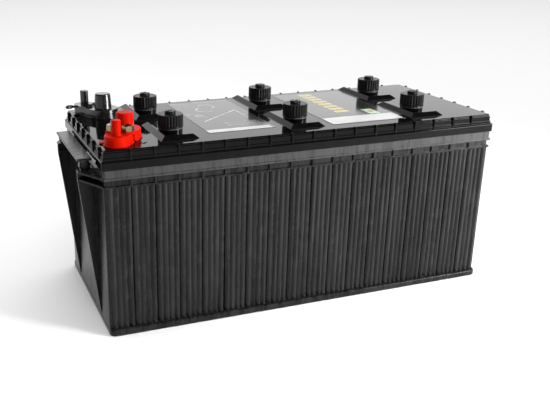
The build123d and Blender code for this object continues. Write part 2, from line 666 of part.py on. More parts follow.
def terminal(side, polarity):
    """Lead terminal: pad sunk in the cover, tapered post, bushing down through the cover."""
    y = side * terminal_y
    pad = terminal_link(side, PAD_POST_RADIUS, PAD_STUD_RADIUS, pad_bottom, pad_top)
    post = Pos(terminal_x, y, (pad_top + post_top) / 2) * Cone(
        post_radius(polarity, pad_top), post_radius(polarity, post_top), POST_HEIGHT)
    bushing = rod(BUSHING_RADIUS, bushing_bottom, pad_bottom, terminal_x, y)
    stud_y = side * (terminal_y + stud_dy)
    hole = rod(STUD_RADIUS + STUD_CLEARANCE, pad_top - STUD_SUNK, pad_top + 1, terminal_x + STUD_DX, stud_y)
    return pad + post + bushing - hole


def stud(side):
    """Threaded stud cast into the lead pad."""
    pin = rod(STUD_RADIUS, pad_top - STUD_SUNK, pad_top + STUD_HEIGHT, terminal_x + STUD_DX,
              side * (terminal_y + stud_dy))
    return chamfer(pin.faces().sort_by(Axis.Z)[-1].edges(), STUD_CHAMFER)


def nut_places(side):
    """Centres of the two stored nuts, either side of the line from post to stud."""
    along = Vector(STUD_DX, side * stud_dy)
    middle = Vector(terminal_x, side * terminal_y) + along * NUT_ALONG
    across = Vector(-along.Y, along.X).normalized() * NUT_OFFSET
    return [middle + across, middle - across]


def hexagon(flats, low, high):
    """Upright six-sided prism."""
    corner_radius = flats / 2 / cos(radians(30))
    return Pos(0, 0, low) * extrude(RegularPolygon(corner_radius, 6), high - low)


def stored_nuts(side):
    """Two loose hexagon nuts for the studs, pushed into pockets on the protector."""
    height = tray_top + NUT_HEIGHT
    disc = rod(NUT_FLATS / 2 / cos(radians(30)), tray_top, height)
    nut = hexagon(NUT_FLATS, tray_top, height) & chamfer(disc.edges(), NUT_CHAMFER)
    nut -= rod(NUT_BORE / 2, tray_top - 1, height + 1)
    return Compound([Pos(p.X, p.Y, 0) * nut for p in nut_places(side)])


def protector(side, polarity):
    """Moulded terminal protector: tray, two tubes, nut pockets, pull tab."""
    y = side * terminal_y
    stud_x = terminal_x + STUD_DX
    stud_y = side * (terminal_y + stud_dy)
    low = COVER_TOP
    wall = PROTECTOR_WALL
    big, small = PROTECTOR_POST_RADIUS, PROTECTOR_STUD_RADIUS
    tray = terminal_link(side, big, small, low, tray_top)
    tray += terminal_link(side, big + PROTECTOR_LIP, small + PROTECTOR_LIP, low, low + PROTECTOR_LIP_HEIGHT)
    tube_base = post_radius(polarity, tray_top) + PROTECTOR_POST_GAPS[polarity]
    tube_tip = tube_base - PROTECTOR_TAPERS[polarity]
    tube_height = PROTECTOR_POST_TOP - PROTECTOR_TRAY_TOP
    shell_wall = PROTECTOR_TUBE_WALL
    post_tube = Pos(terminal_x, y, tray_top + tube_height / 2) * Cone(
        tube_base + shell_wall, tube_tip + shell_wall, tube_height)
    post_tube = chamfer(post_tube.faces().sort_by(Axis.Z)[-1].edges(), shell_wall)
    stud_inner = STUD_RADIUS + PROTECTOR_STUD_GAP
    stud_tube = rod(stud_inner + shell_wall, tray_top, low + PROTECTOR_STUD_TOP, stud_x, stud_y)
    stud_tube = chamfer(stud_tube.faces().sort_by(Axis.Z)[-1].edges(), shell_wall / 2)
    tab_z = low + PROTECTOR_TAB_Z
    tab_y = stud_y - side * PROTECTOR_TAB_SHIFT
    half_tab = PROTECTOR_TAB_WIDTH / 2
    tab = block(stud_x - PROTECTOR_TAB_REACH, stud_x, tab_y - half_tab, tab_y + half_tab, tab_z, tab_z + wall)
    body = tray + post_tube + stud_tube + tab
    for place in nut_places(side):
        pocket = hexagon(NUT_FLATS + 2 * (NUT_POCKET_GAP + NUT_POCKET_RIM), tray_top - wall,
                         tray_top + NUT_POCKET_HEIGHT)
        pocket -= hexagon(NUT_FLATS + 2 * NUT_POCKET_GAP, tray_top, tray_top + NUT_HEIGHT)
        body += Pos(place.X, place.Y, 0) * pocket
    for place in nut_places(side):
        body -= Pos(place.X, place.Y, 0) * hexagon(NUT_FLATS + 2 * NUT_POCKET_GAP, tray_top,
                                                   tray_top + NUT_HEIGHT)
    body -= terminal_link(side, big - wall, small - wall, low - 1, tray_top - wall)
    bore_height = tube_height - shell_wall
    body -= Pos(terminal_x, y, tray_top + bore_height / 2) * Cone(tube_base, tube_tip, bore_height)
    body -= rod(tube_base, tray_top - 2 * wall, tray_top, terminal_x, y)
    body -= rod(stud_inner, low, low + PROTECTOR_STUD_TOP - shell_wall, stud_x, stud_y)
    return body - side_notch(side)


def side_notch(side):
    """V notch up the tray's side wall, beside the nut nearer the middle of the battery."""
    places = nut_places(side)
    inner = max(places, key=lambda p: p.X)
    outward = (inner - (places[0] + places[1]) / 2).normalized()
    low = COVER_TOP - 1
    half = PROTECTOR_NOTCH_WIDTH / 2
    plane = Plane(origin=(inner.X, inner.Y, low), x_dir=(-outward.Y, outward.X, 0),
                  z_dir=(outward.X, outward.Y, 0))
    rise = PROTECTOR_NOTCH_HEIGHT + 1
    up = 1 if plane.y_dir.Z > 0 else -1
    wedge = make_face(Polyline((-half, 0), (half, 0), (0, up * rise), close=True))
    return plane * extrude(wedge, PROTECTOR_POST_RADIUS)


# ---- Cell elements ---------------------------------------------------------------------
def stack_start(y):
    """Front face of the first negative plate of a cell."""
    total = 2 * positive_plates * stack_pitch + NEGATIVE_THICKNESS
    return y - total / 2


def plate_slots(index, polarity):
    """Front face and thickness of each plate of one polarity in a cell."""
    start = stack_start(cell_centre(index)[1])
    middle = start + NEGATIVE_THICKNESS / 2
    if polarity == "negative":
        count, first, thickness = positive_plates + 1, 0, NEGATIVE_THICKNESS
    else:
        count, first, thickness = positive_plates, 1, POSITIVE_THICKNESS
    places = [middle + (2 * i + first) * stack_pitch for i in range(count)]
    return [(place - thickness / 2, thickness) for place in places]


def lug_x(index, polarity):
    """Middle of the strap of one polarity."""
    row = CELLS[index][1]
    sign = row if polarity == "positive" else -row
    return cell_centre(index)[0] + sign * LUG_OFFSET


def strap_link(index, polarity):
    """What a strap carries on: a riser to the terminal, or a tab at the next partition."""
    x = lug_x(index, polarity)
    cx, cy = cell_centre(index)
    half = TAB_WIDTH / 2
    tab_top = strap_top + TAB_RISE
    outermost = (0, "positive"), (len(CELLS) - 1, "negative")
    if (index, polarity) in outermost:
        return rod(RISER_RADIUS, strap_bottom, bushing_bottom, x, CELLS[index][1] * terminal_y)
    neighbour = index - 1 if polarity == "positive" else index + 1
    if CELLS[neighbour][1] == CELLS[index][1]:
        way = 1 if x > cx else -1
        face = cx + way * (cell_x / 2 - TAB_AIR)
        bridge = block(x, face, cy - half, cy + half, strap_bottom, strap_top)
        return bridge + block(face - way * TAB_THICKNESS, face, cy - half, cy + half, strap_bottom, tab_top)
    way = -CELLS[index][1]
    face = cy + way * (cell_y / 2 - TAB_AIR)
    bridge = block(x - half, x + half, cy, face, strap_bottom, strap_top)
    return bridge + block(x - half, x + half, face - way * TAB_THICKNESS, face, strap_bottom, tab_top)


def plate_group(index, polarity):
    """Plates of one polarity, burned to their strap through their lugs."""
    cx = cell_centre(index)[0]
    x = lug_x(index, polarity)
    slots = plate_slots(index, polarity)
    first = slots[0][0]
    last = slots[-1][0] + slots[-1][1]
    group = block(x - STRAP_WIDTH / 2, x + STRAP_WIDTH / 2, first, last, strap_bottom, strap_top)
    pieces = [strap_link(index, polarity)]
    for low, thickness in slots:
        pieces.append(block(cx - PLATE_WIDTH / 2, cx + PLATE_WIDTH / 2, low, low + thickness, plate_bottom,
                            plate_top))
        pieces.append(block(x - LUG_WIDTH / 2, x + LUG_WIDTH / 2, low, low + thickness, plate_top,
                            strap_bottom))
    return group + pieces


def separators(index):
    """Porous sheets between the plates of a cell."""
    cx, cy = cell_centre(index)
    start = stack_start(cy) + NEGATIVE_THICKNESS / 2
    half = PLATE_WIDTH / 2 + SEPARATOR_OVERHANG
    sheets = []
    for i in range(2 * positive_plates):
        thinner = NEGATIVE_THICKNESS if i % 2 == 0 else POSITIVE_THICKNESS
        low = start + i * stack_pitch + thinner / 2 + PLATE_GAP
        sheets.append(block(cx - half, cx + half, low, low + SEPARATOR_THICKNESS, plate_bottom,
                            plate_top + SEPARATOR_OVERHANG))
    return Compound(sheets)


def cell_welds():
    """Lead welds through the partitions, from tab to tab."""
    length = PARTITION + 2 * TAB_AIR
    return Compound([weld_rod(place, WELD_RADIUS, length) for place in weld_places()])


# ---- Labels ----------------------------------------------------------------------------
def cover_label(which):
    """Thin printed sheet stuck to the cover between two pairs of vents."""
    column = {"left": 0, "right": 1}[which]
    x0 = vent_centre(column)[0] + LABEL_STARTS[which]
    x1 = vent_centre(column + 1)[0] - LABEL_ENDS[which]
    y0 = LABEL_FRONTS[which] - band_y
    y1 = band_y - LABEL_BACK
    sheet = extrude(RectangleRounded(x1 - x0, y1 - y0, LABEL_CORNER), LABEL_THICKNESS)
    return Pos((x0 + x1) / 2, (y0 + y1) / 2, COVER_TOP) * sheet


# ---- All pieces ------------------------------------------------------------------------
def all_parts():
    """Every separate piece of the battery, by the name of its node."""
    parts = {
        "container": container(),
        "cover": cover(),
        "lifting_bar_left": lifting_bar(-1),
        "lifting_bar_right": lifting_bar(1),
        "terminal_positive": terminal(-1, "positive"),
        "terminal_negative": terminal(1, "negative"),
        "stud_positive": stud(-1),
        "stud_negative": stud(1),
        "protector_positive": protector(-1, "positive"),
        "protector_negative": protector(1, "negative"),
        "stored_nuts": stored_nuts(-1),
        "cell_welds": cell_welds(),
        "label_left": cover_label("left"),
        "label_right": cover_label("right"),
    }
    cap, gasket, baffle = vent_cap(), vent_gasket(), vent_baffle()
    for index in range(len(CELLS)):
        place = Pos(*vent_centre(index), 0)
        number = index + 1
        parts[f"vent_cap_{number}"] = place * cap
        parts[f"vent_gasket_{number}"] = place * gasket
        parts[f"vent_baffle_{number}"] = place * baffle
        parts[f"positive_plates_{number}"] = plate_group(index, "positive")
        parts[f"negative_plates_{number}"] = plate_group(index, "negative")
        parts[f"separators_{number}"] = separators(index)
    return parts


os.makedirs("parts", exist_ok=True)
for name, part in all_parts().items():
    export_step(part, f"parts/{name}.step")
    print(name, len(part.solids()), "solids", round(part.volume / 1000, 1), "cm3")
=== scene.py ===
"""Deep cycle battery: finishes, finer pieces and studio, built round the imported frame. Metres."""

import logging
import math
from dataclasses import dataclass
from enum import Enum
from typing import Callable, Iterable, Sequence

import bmesh
import bpy
from mathutils import Matrix, Vector


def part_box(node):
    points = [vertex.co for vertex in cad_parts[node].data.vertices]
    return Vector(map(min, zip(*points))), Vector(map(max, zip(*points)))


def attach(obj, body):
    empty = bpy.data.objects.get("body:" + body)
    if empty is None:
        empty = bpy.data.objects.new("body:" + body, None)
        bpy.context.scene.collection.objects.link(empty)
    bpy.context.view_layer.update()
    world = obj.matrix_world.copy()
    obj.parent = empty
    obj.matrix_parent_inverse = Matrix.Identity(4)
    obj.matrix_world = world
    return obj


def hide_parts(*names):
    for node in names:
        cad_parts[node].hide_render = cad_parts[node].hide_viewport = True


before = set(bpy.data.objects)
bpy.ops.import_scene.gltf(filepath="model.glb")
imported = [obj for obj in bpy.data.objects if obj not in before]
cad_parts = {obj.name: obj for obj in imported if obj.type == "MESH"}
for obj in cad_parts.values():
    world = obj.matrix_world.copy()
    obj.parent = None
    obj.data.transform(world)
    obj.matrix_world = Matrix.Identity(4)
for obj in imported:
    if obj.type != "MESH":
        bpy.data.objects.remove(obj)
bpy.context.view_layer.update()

LOG = logging.getLogger("battery")
MM = 0.001
CELLS = range(1, 7)

Colour = tuple[float, float, float]
Point = tuple[float, float]


class Slot(Enum):
    """Material slots of the record."""

    CASE = "moulded_black"
    CAP = "cap_black"
    RED = "protector_red"
    BLACK = "protector_black"
    LEAD = "lead"
    PLATE_LEAD = "plate_lead"
    PLATE_OXIDE = "plate_oxide"
    SEPARATOR = "separator"
    STUD = "stud_steel"
    NUT = "nut_zinc"
    RUBBER = "gasket_rubber"
    FILM = "label_film"


class Polarity(Enum):
    """The two terminals; the value is the ending of their nodes' names."""

    POSITIVE = "positive"
    NEGATIVE = "negative"


# ---- Finishes ------------------------------------------------------------------------------
class NodeSheet:
    """A new material's node tree, with short calls for the nodes that the finishes share."""

    def __init__(self, name: str) -> None:
        """Starts a material with its shader and object coordinates.

        Args:
            name: the material's name.
        """
        self.material = bpy.data.materials.new(name)
        self.material.use_nodes = True
        self.tree = self.material.node_tree
        self.shader = self.tree.nodes["Principled BSDF"]
        self.place = self.tree.nodes.new("ShaderNodeTexCoord").outputs["Object"]

    def put(self, socket: bpy.types.NodeSocket, value: object) -> None:
        """Links a socket to another, or gives it a plain value.

        Args:
            socket: the input to set.
            value: an output socket, a number or a colour.
        """
        if isinstance(value, bpy.types.NodeSocket):
            self.tree.links.new(value, socket)
        elif isinstance(value, tuple) and len(value) == 3 and socket.type == "RGBA":
            socket.default_value = (*value, 1.0)
        else:
            socket.default_value = value

    def stretched(self, scale: tuple[float, float, float], turn: float = 0.0) -> bpy.types.NodeSocket:
        """Object coordinates scaled along each axis and turned about the vertical.

        Args:
            scale: factor along X, Y and Z.
            turn: angle in degrees.

        Returns:
            The vector output.
        """
        node = self.tree.nodes.new("ShaderNodeMapping")
        self.put(node.inputs["Vector"], self.place)
        node.inputs["Scale"].default_value = scale
        node.inputs["Rotation"].default_value = (0.0, 0.0, math.radians(turn))
        return node.outputs["Vector"]

    def noise(self, size: float, detail: float = 3.0, roughness: float = 0.55,
              vector: bpy.types.NodeSocket | None = None) -> bpy.types.NodeSocket:
        """Cloudy noise.

        Args:
            size: size of one blotch in metres, or in units of the given vector.
            detail: octaves.
            roughness: weight of the finer octaves.
            vector: coordinates, the object's own if left out.

        Returns:
            The noise value, from 0 to 1.
        """
        node = self.tree.nodes.new("ShaderNodeTexNoise")
        self.put(node.inputs["Vector"], vector or self.place)
        node.inputs["Scale"].default_value = 1.0 / size
        node.inputs["Detail"].default_value = detail
        node.inputs["Roughness"].default_value = roughness
        return node.outputs["Fac"]

    def specks(self, spacing: float, share: float) -> bpy.types.NodeSocket:
        """Small round specks, such as dust, scattered unevenly.

        Args:
            spacing: mean distance between specks in metres.
            share: radius of a speck as a share of the spacing.

        Returns:
            A mask that is 1 on a speck.
        """
        node = self.tree.nodes.new("ShaderNodeTexVoronoi")
        self.put(node.inputs["Vector"], self.place)
        node.inputs["Scale"].default_value = 1.0 / spacing
        return self.ramp(node.outputs["Distance"], [(0.0, 1.0), (share, 0.0)])

    def ramp(self, value: bpy.types.NodeSocket, stops: Sequence[Point]) -> bpy.types.NodeSocket:
        """Passes a value through a grey ramp.

        Args:
            value: the value to reshape.
            stops: position and grey level of each stop, in order.

        Returns:
            The reshaped value.
        """
        node = self.tree.nodes.new("ShaderNodeValToRGB")
        self.put(node.inputs["Fac"], value)
        elements = node.color_ramp.elements
        while len(elements) < len(stops):
            elements.new(1.0)
        for element, (position, grey) in zip(elements, stops):
            element.position = position
            element.color = (grey, grey, grey, 1.0)
        return node.outputs["Color"]

    def collar_mask(self, height: float, half_length: float) -> bpy.types.NodeSocket:
        """A mask of what lies above a height and between the two ends.

        Args:
            height: the height in metres.
            half_length: how far the masked part reaches from the middle along X, in metres.

        Returns:
            1 in the masked part, 0 elsewhere.
        """
        node = self.tree.nodes.new("ShaderNodeSeparateXYZ")
        self.put(node.inputs["Vector"], self.place)
        above = self.math("GREATER_THAN", node.outputs["Z"], height)
        from_middle = self.math("ABSOLUTE", node.outputs["X"], 0.0)
        return self.math("MULTIPLY", above, self.math("LESS_THAN", from_middle, half_length))

    def math(self, operation: str, first: object, second: object) -> bpy.types.NodeSocket:
        """One sum on two values.

        Args:
            operation: name of the sum, such as MULTIPLY.
            first: a socket or a number.
            second: a socket or a number.

        Returns:
            The result.
        """
        node = self.tree.nodes.new("ShaderNodeMath")
        node.operation = operation
        self.put(node.inputs[0], first)
        self.put(node.inputs[1], second)
        return node.outputs["Value"]

    def between(self, share: bpy.types.NodeSocket, low: object, high: object) -> bpy.types.NodeSocket:
        """A colour between two others.

        Args:
            share: 0 for the first colour, 1 for the second.
            low: first colour or socket.
            high: second colour or socket.

        Returns:
            The mixed colour.
        """
        node = self.tree.nodes.new("ShaderNodeMix")
        node.data_type = "RGBA"
        self.put(node.inputs["Factor"], share)
        self.put(node.inputs[6], low)
        self.put(node.inputs[7], high)
        return node.outputs[2]

    def level(self, share: bpy.types.NodeSocket, low: float, high: float) -> bpy.types.NodeSocket:
        """A number between two limits.

        Args:
            share: 0 for the low limit, 1 for the high one.
            low: value at 0.
            high: value at 1.

        Returns:
            The number.
        """
        node = self.tree.nodes.new("ShaderNodeMapRange")
        self.put(node.inputs["Value"], share)
        node.inputs["To Min"].default_value = low
        node.inputs["To Max"].default_value = high
        return node.outputs["Result"]

    def relief(self, layers: Iterable[tuple[bpy.types.NodeSocket, float]]) -> None:
        """Raises the surface by several height patterns, one on the other.

        Args:
            layers: each pattern and its full height in metres.
        """
        normal = None
        for height, depth in layers:
            node = self.tree.nodes.new("ShaderNodeBump")
            node.inputs["Distance"].default_value = depth
            self.put(node.inputs["Height"], height)
            if normal is not None:
                self.put(node.inputs["Normal"], normal)
            normal = node.outputs["Normal"]
        if normal is not None:
            self.put(self.shader.inputs["Normal"], normal)

    def finish(self, **values: object) -> bpy.types.Material:
        """Sets the shader's sockets and hands over the material.

        Args:
            values: socket names, with underscores for spaces, and what each is set to.

        Returns:
            The finished material.
        """
        for name, value in values.items():
            self.put(self.shader.inputs[name.replace("_", " ")], value)
        return self.material


@dataclass(frozen=True)
class MouldedPlastic:
    """Injection moulded plastic: flow marks, fine grain, dust, worn patches and a painted highlight on the
    upper long sides.
    """

    name: str
    colour: Colour
    # paler colour, used for the worn patches and flow marks and for the painted highlight on the upper long
    # sides
    rubbed_and_lit: Colour
    gloss: tuple[float, float]          # lowest and highest roughness
    grain: float = 0.0                  # depth of the fine grain in metres
    ripple: float = 0.0                 # depth of the long shallow unevenness in metres
    flow: float = 0.35                  # strength of the upright flow marks
    dust: float = 0.5                   # how light the dust specks are
    worn: float = 0.8                   # strength of the worn patches
    specular: float = 0.5
    painted_light_above: float = 10.0         # height in metres above which the long sides get a painted highlight, paler as if lit from the front
    painted_light_within: float = 0.2618      # and how far that reaches from the middle, in metres
    painted_light_strength: float = 0.7                  # how much paler the painted highlight makes them

    def build(self) -> bpy.types.Material:
        """Makes the material.

        Returns:
            The finished material.
        """
        sheet = NodeSheet(self.name)
        clouds = sheet.noise(0.055, 4.0)
        streaks = sheet.noise(1.0, 4.0, 0.65, sheet.stretched((170.0, 170.0, 7.0)))
        marks = sheet.ramp(streaks, [(0.36, 0.0), (0.66, 1.0)])
        rub = sheet.ramp(sheet.noise(0.017, 6.0, 0.7), [(0.52, 0.0), (0.78, 1.0)])
        wear = sheet.math("MULTIPLY", rub, clouds)
        flowed = sheet.math("MULTIPLY", marks, self.flow)
        tone = sheet.math("ADD", flowed, sheet.math("MULTIPLY", wear, self.worn))
        # painted highlight: above a height the long sides are made paler, standing in for the light they catch
        painted_light_band = sheet.collar_mask(self.painted_light_above, self.painted_light_within)
        tone = sheet.math("ADD", tone, sheet.math("MULTIPLY", painted_light_band, self.painted_light_strength))
        plastic = sheet.between(tone, self.colour, self.rubbed_and_lit)
        gathered = sheet.ramp(clouds, [(0.5, 0.0), (0.62, 1.0)])
        spots = sheet.math("MULTIPLY", sheet.specks(0.011, 0.035), gathered)
        pale = tuple(self.dust for _ in range(3))
        dusted = sheet.between(sheet.math("MULTIPLY", spots, 0.8), plastic, pale)
        low, high = self.gloss
        rough = sheet.level(sheet.math("ADD", sheet.math("MULTIPLY", marks, 0.5), wear), low, high)
        fine = sheet.noise(0.0006, 2.0)
        slow = sheet.noise(0.02, 1.0, 0.4)
        sheet.relief([(slow, self.ripple), (fine, self.grain)])
        return sheet.finish(Base_Color=dusted, Roughness=rough, Specular_IOR_Level=self.specular)


@dataclass(frozen=True)
class SoftVinyl:
    """Dipped or moulded vinyl: slightly waxy, with dark handling marks."""

    name: str
    colour: Colour
    shade: Colour
    gloss: tuple[float, float]
    coat: float = 0.2
    specular: float = 0.5
    glint: Colour = (1.0, 1.0, 1.0)     # tint of what it reflects

    def build(self) -> bpy.types.Material:
        """Makes the material.

        Returns:
            The finished material.
        """
        sheet = NodeSheet(self.name)
        clouds = sheet.noise(0.012, 4.0)
        smudge = sheet.ramp(sheet.noise(0.005, 5.0, 0.7), [(0.55, 0.0), (0.8, 1.0)])
        tone = sheet.math("ADD", sheet.math("MULTIPLY", clouds, 0.45), sheet.math("MULTIPLY", smudge, 0.5))
        rough = sheet.level(clouds, *self.gloss)
        sheet.relief([(sheet.noise(0.004, 2.0), 0.00012), (sheet.noise(0.0005, 2.0), 0.00002)])
        return sheet.finish(Base_Color=sheet.between(tone, self.colour, self.shade), Roughness=rough,
                            Coat_Weight=self.coat, Coat_Roughness=0.18, Specular_IOR_Level=self.specular,
                            Specular_Tint=self.glint)


@dataclass(frozen=True)
class Metal:
    """Cast or rolled metal with tarnish in patches."""

    name: str
    colour: Colour
    tarnish: Colour
    gloss: tuple[float, float]
    pitting: float                      # depth of the pitting in metres
    metallic: float = 1.0

    def build(self) -> bpy.types.Material:
        """Makes the material.

        Returns:
            The finished material.
        """
        sheet = NodeSheet(self.name)
        patches = sheet.ramp(sheet.noise(0.006, 5.0, 0.65), [(0.42, 0.0), (0.68, 1.0)])
        fine = sheet.noise(0.0008, 4.0)
        rough = sheet.level(sheet.math("MULTIPLY", sheet.math("ADD", patches, fine), 0.5), *self.gloss)
        sheet.relief([(sheet.noise(0.0025, 4.0), self.pitting), (fine, self.pitting / 3)])
        return sheet.finish(Base_Color=sheet.between(patches, self.colour, self.tarnish), Roughness=rough,
                            Metallic=self.metallic)


@dataclass(frozen=True)
class PressedSheet:
    """Plate paste, separator or rubber: dull, porous, with fine upright ribbing."""

    name: str
    colour: Colour
    shade: Colour
    roughness: float
    rib_pitch: float

    def build(self) -> bpy.types.Material:
        """Makes the material.

        Returns:
            The finished material.
        """
        sheet = NodeSheet(self.name)
        clouds = sheet.noise(0.02, 5.0, 0.6)
        wave = sheet.tree.nodes.new("ShaderNodeTexWave")
        sheet.put(wave.inputs["Vector"], sheet.place)
        wave.inputs["Scale"].default_value = 1.0 / self.rib_pitch / math.tau
        pores = sheet.noise(0.0009, 4.0)
        sheet.relief([(wave.outputs["Fac"], 0.0001), (pores, 0.00008)])
        rough = sheet.level(pores, self.roughness - 0.1, self.roughness)
        return sheet.finish(Base_Color=sheet.between(clouds, self.colour, self.shade), Roughness=rough)


@dataclass(frozen=True)
class PrintedFilm:
    """Thin plastic film or a layer of ink on it: faint wrinkles under a clear coat."""

    name: str
    colour: Colour
    faded: Colour
    gloss: tuple[float, float]
    wrinkle: float = 0.00004
    specular: float = 0.5

    def build(self) -> bpy.types.Material:
        """Makes the material.

        Returns:
            The finished material.
        """
        sheet = NodeSheet(self.name)
        clouds = sheet.noise(0.03, 4.0)
        rubs = sheet.ramp(sheet.noise(1.0, 5.0, 0.7, sheet.stretched((30.0, 160.0, 30.0), 25.0)),
                          [(0.55, 0.0), (0.8, 1.0)])
        tone = sheet.math("ADD", sheet.math("MULTIPLY", clouds, 0.5), sheet.math("MULTIPLY", rubs, 0.6))
        rough = sheet.level(sheet.math("ADD", sheet.math("MULTIPLY", clouds, 0.4), rubs), *self.gloss)
        creases = sheet.noise(1.0, 2.0, 0.5, sheet.stretched((45.0, 18.0, 45.0), 12.0))
        sheet.relief([(creases, self.wrinkle), (sheet.noise(0.0015, 2.0), self.wrinkle / 8)])
        return sheet.finish(Base_Color=sheet.between(tone, self.colour, self.faded), Roughness=rough,
                            Specular_IOR_Level=self.specular)


Finish = MouldedPlastic | SoftVinyl | Metal | PressedSheet | PrintedFilm

# painted highlight on the case's upper long sides, above 0.195 m
CASE_PLASTIC = MouldedPlastic("case_plastic", (0.002, 0.002, 0.0021), (0.044, 0.044, 0.0447), (0.24, 0.42),
                              grain=0.00002, ripple=0.00008, flow=0.27, dust=0.3, worn=0.4, specular=0.18,
                              painted_light_above=0.195)
COVER_PLASTIC = MouldedPlastic("cover_plastic", (0.0015, 0.0015, 0.0016), (0.0058, 0.0058, 0.006),
                               (0.03, 0.12), grain=0.000003, ripple=0.00003, flow=0.3, dust=0.25,
                               specular=0.13)
BAR_PLASTIC = MouldedPlastic("lifting_bar_plastic", (0.008, 0.008, 0.0083), (0.03, 0.03, 0.031), (0.24, 0.4),
                             grain=0.00002, ripple=0.00006, flow=0.3, dust=0.25, specular=0.4)
CAP_PLASTIC = MouldedPlastic("vent_cap_plastic", (0.006, 0.006, 0.0062), (0.015, 0.015, 0.0154), (0.24, 0.4),
                             grain=0.000008, ripple=0.00002, flow=0.25, dust=0.2, specular=0.075)
BAFFLE_PLASTIC = MouldedPlastic("baffle_plastic", (0.5, 0.5, 0.47), (0.34, 0.34, 0.32), (0.35, 0.5),
                                grain=0.00001, ripple=0.00002, dust=0.8)
RED_VINYL = SoftVinyl("red_vinyl", (0.46, 0.006, 0.001), (0.28, 0.003, 0.001), (0.36, 0.5), coat=0.0,
                      specular=0.05, glint=(1.0, 0.3, 0.12))
BLACK_VINYL = SoftVinyl("black_vinyl", (0.004, 0.004, 0.0042), (0.01, 0.01, 0.0105), (0.12, 0.26), coat=0.1)
CAST_LEAD = Metal("cast_lead", (0.36, 0.37, 0.39), (0.2, 0.2, 0.21), (0.38, 0.62), 0.0001)
STUD_STEEL = Metal("stud_steel", (0.62, 0.62, 0.63), (0.42, 0.41, 0.39), (0.2, 0.4), 0.00002)
NUT_ZINC = Metal("nut_zinc", (0.36, 0.29, 0.18), (0.12, 0.08, 0.035), (0.12, 0.3), 0.00004)
PLATE_LEAD = PressedSheet("negative_plate", (0.21, 0.22, 0.23), (0.13, 0.14, 0.15), 0.85, 0.004)
PLATE_OXIDE = PressedSheet("positive_plate", (0.17, 0.07, 0.035), (0.1, 0.04, 0.02), 0.9, 0.004)
SEPARATOR = PressedSheet("separator", (0.62, 0.6, 0.55), (0.45, 0.43, 0.38), 0.85, 0.003)
RUBBER = PressedSheet("gasket_rubber", (0.02, 0.02, 0.02), (0.035, 0.035, 0.036), 0.75, 0.002)
LABEL_FILM = PrintedFilm("label_film", (0.018, 0.018, 0.019), (0.045, 0.045, 0.046), (0.1, 0.26),
                         wrinkle=0.00008, specular=0.38)
WHITE_INK = PrintedFilm("white_ink", (0.52, 0.52, 0.52), (0.4, 0.4, 0.4), (0.3, 0.5))
GREY_INK = PrintedFilm("grey_ink", (0.42, 0.42, 0.42), (0.3, 0.3, 0.3), (0.3, 0.5))
YELLOW_INK = PrintedFilm("yellow_ink", (0.42, 0.33, 0.07), (0.3, 0.24, 0.06), (0.2, 0.4))
GREEN_INK = PrintedFilm("green_ink", (0.42, 0.55, 0.38), (0.3, 0.4, 0.28), (0.3, 0.5))

_materials: dict[str, bpy.types.Material] = {}


def material_of(finish: Finish) -> bpy.types.Material:
    """The material of a finish, made once.

    Args:
        finish: the finish.

    Returns:
        Its material.
    """
    if finish.name not in _materials:
        _materials[finish.name] = finish.build()
    return _materials[finish.name]


# ---- Pieces --------------------------------------------------------------------------------
def finished_piece(shape: bmesh.types.BMesh, name: str, finish: Finish, body: str,
                   smooth_under: float = 38.0) -> bpy.types.Object:
    """Turns a shape into a dressed piece that rides on a body.

    Args:
        shape: the shape in place, used up by this call.
        name: the piece's name.
        finish: its finish.
        body: the body it rides on.
        smooth_under: edges that turn less than this many degrees are shaded smooth.

    Returns:
        The new object.
    """
    mesh = bpy.data.meshes.new(name)
    shape.to_mesh(mesh)
    shape.free()
    mesh.shade_smooth()
    mesh.set_sharp_from_angle(angle=math.radians(smooth_under))
    mesh.materials.append(material_of(finish))
    piece = bpy.data.objects.new(name, mesh)
    bpy.context.scene.collection.objects.link(piece)
    even = piece.modifiers.new("even_shading", "WEIGHTED_NORMAL")
    even.keep_sharp = True
    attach(piece, body)
    LOG.info("%s: %d faces on %s", name, len(mesh.polygons), body)
    return piece


def joined(shapes: Iterable[bmesh.types.BMesh]) -> bmesh.types.BMesh:
    """Several shapes as one.

    Args:
        shapes: the shapes, used up by this call.

    Returns:
        One shape that holds them all.
    """
    whole = bmesh.new()
    for shape in shapes:
        mesh = bpy.data.meshes.new("part")
        shape.to_mesh(mesh)
        shape.free()
        whole.from_mesh(mesh)
        bpy.data.meshes.remove(mesh)
    return whole


def turned(profile: Sequence[Point], steps: int) -> bmesh.types.BMesh:
    """A shape turned about the vertical from its profile.

    Args:
        profile: radius and height of each point, in order.
        steps: steps round the full turn.

    Returns:
        The closed shape about the origin's vertical.
    """
    shape = bmesh.new()
    points = [shape.verts.new((radius, 0.0, height)) for radius, height in profile]
    edges = [shape.edges.new(pair) for pair in zip(points, points[1:])]
    bmesh.ops.spin(shape, geom=points + edges, cent=(0, 0, 0), axis=(0, 0, 1), angle=math.tau, steps=steps,
                   use_merge=True)
    bmesh.ops.remove_doubles(shape, verts=shape.verts, dist=0.001 * MM)
    bmesh.ops.recalc_face_normals(shape, faces=shape.faces)
    return shape


def rounded_corner(radius: float, height: float, bend: float, start: float, end: float,
                   points: int = 4) -> list[Point]:
    """Points of a round corner on a profile.

    Args:
        radius: radius of the arc's centre from the axis.
        height: height of the arc's centre.
        bend: the arc's own radius.
        start: first angle in degrees.
        end: last angle in degrees.
        points: number of points.

    Returns:
        The points in order.
    """
    angles = [math.radians(start + (end - start) * i / (points - 1)) for i in range(points)]
    return [(radius + bend * math.cos(a), height + bend * math.sin(a)) for a in angles]


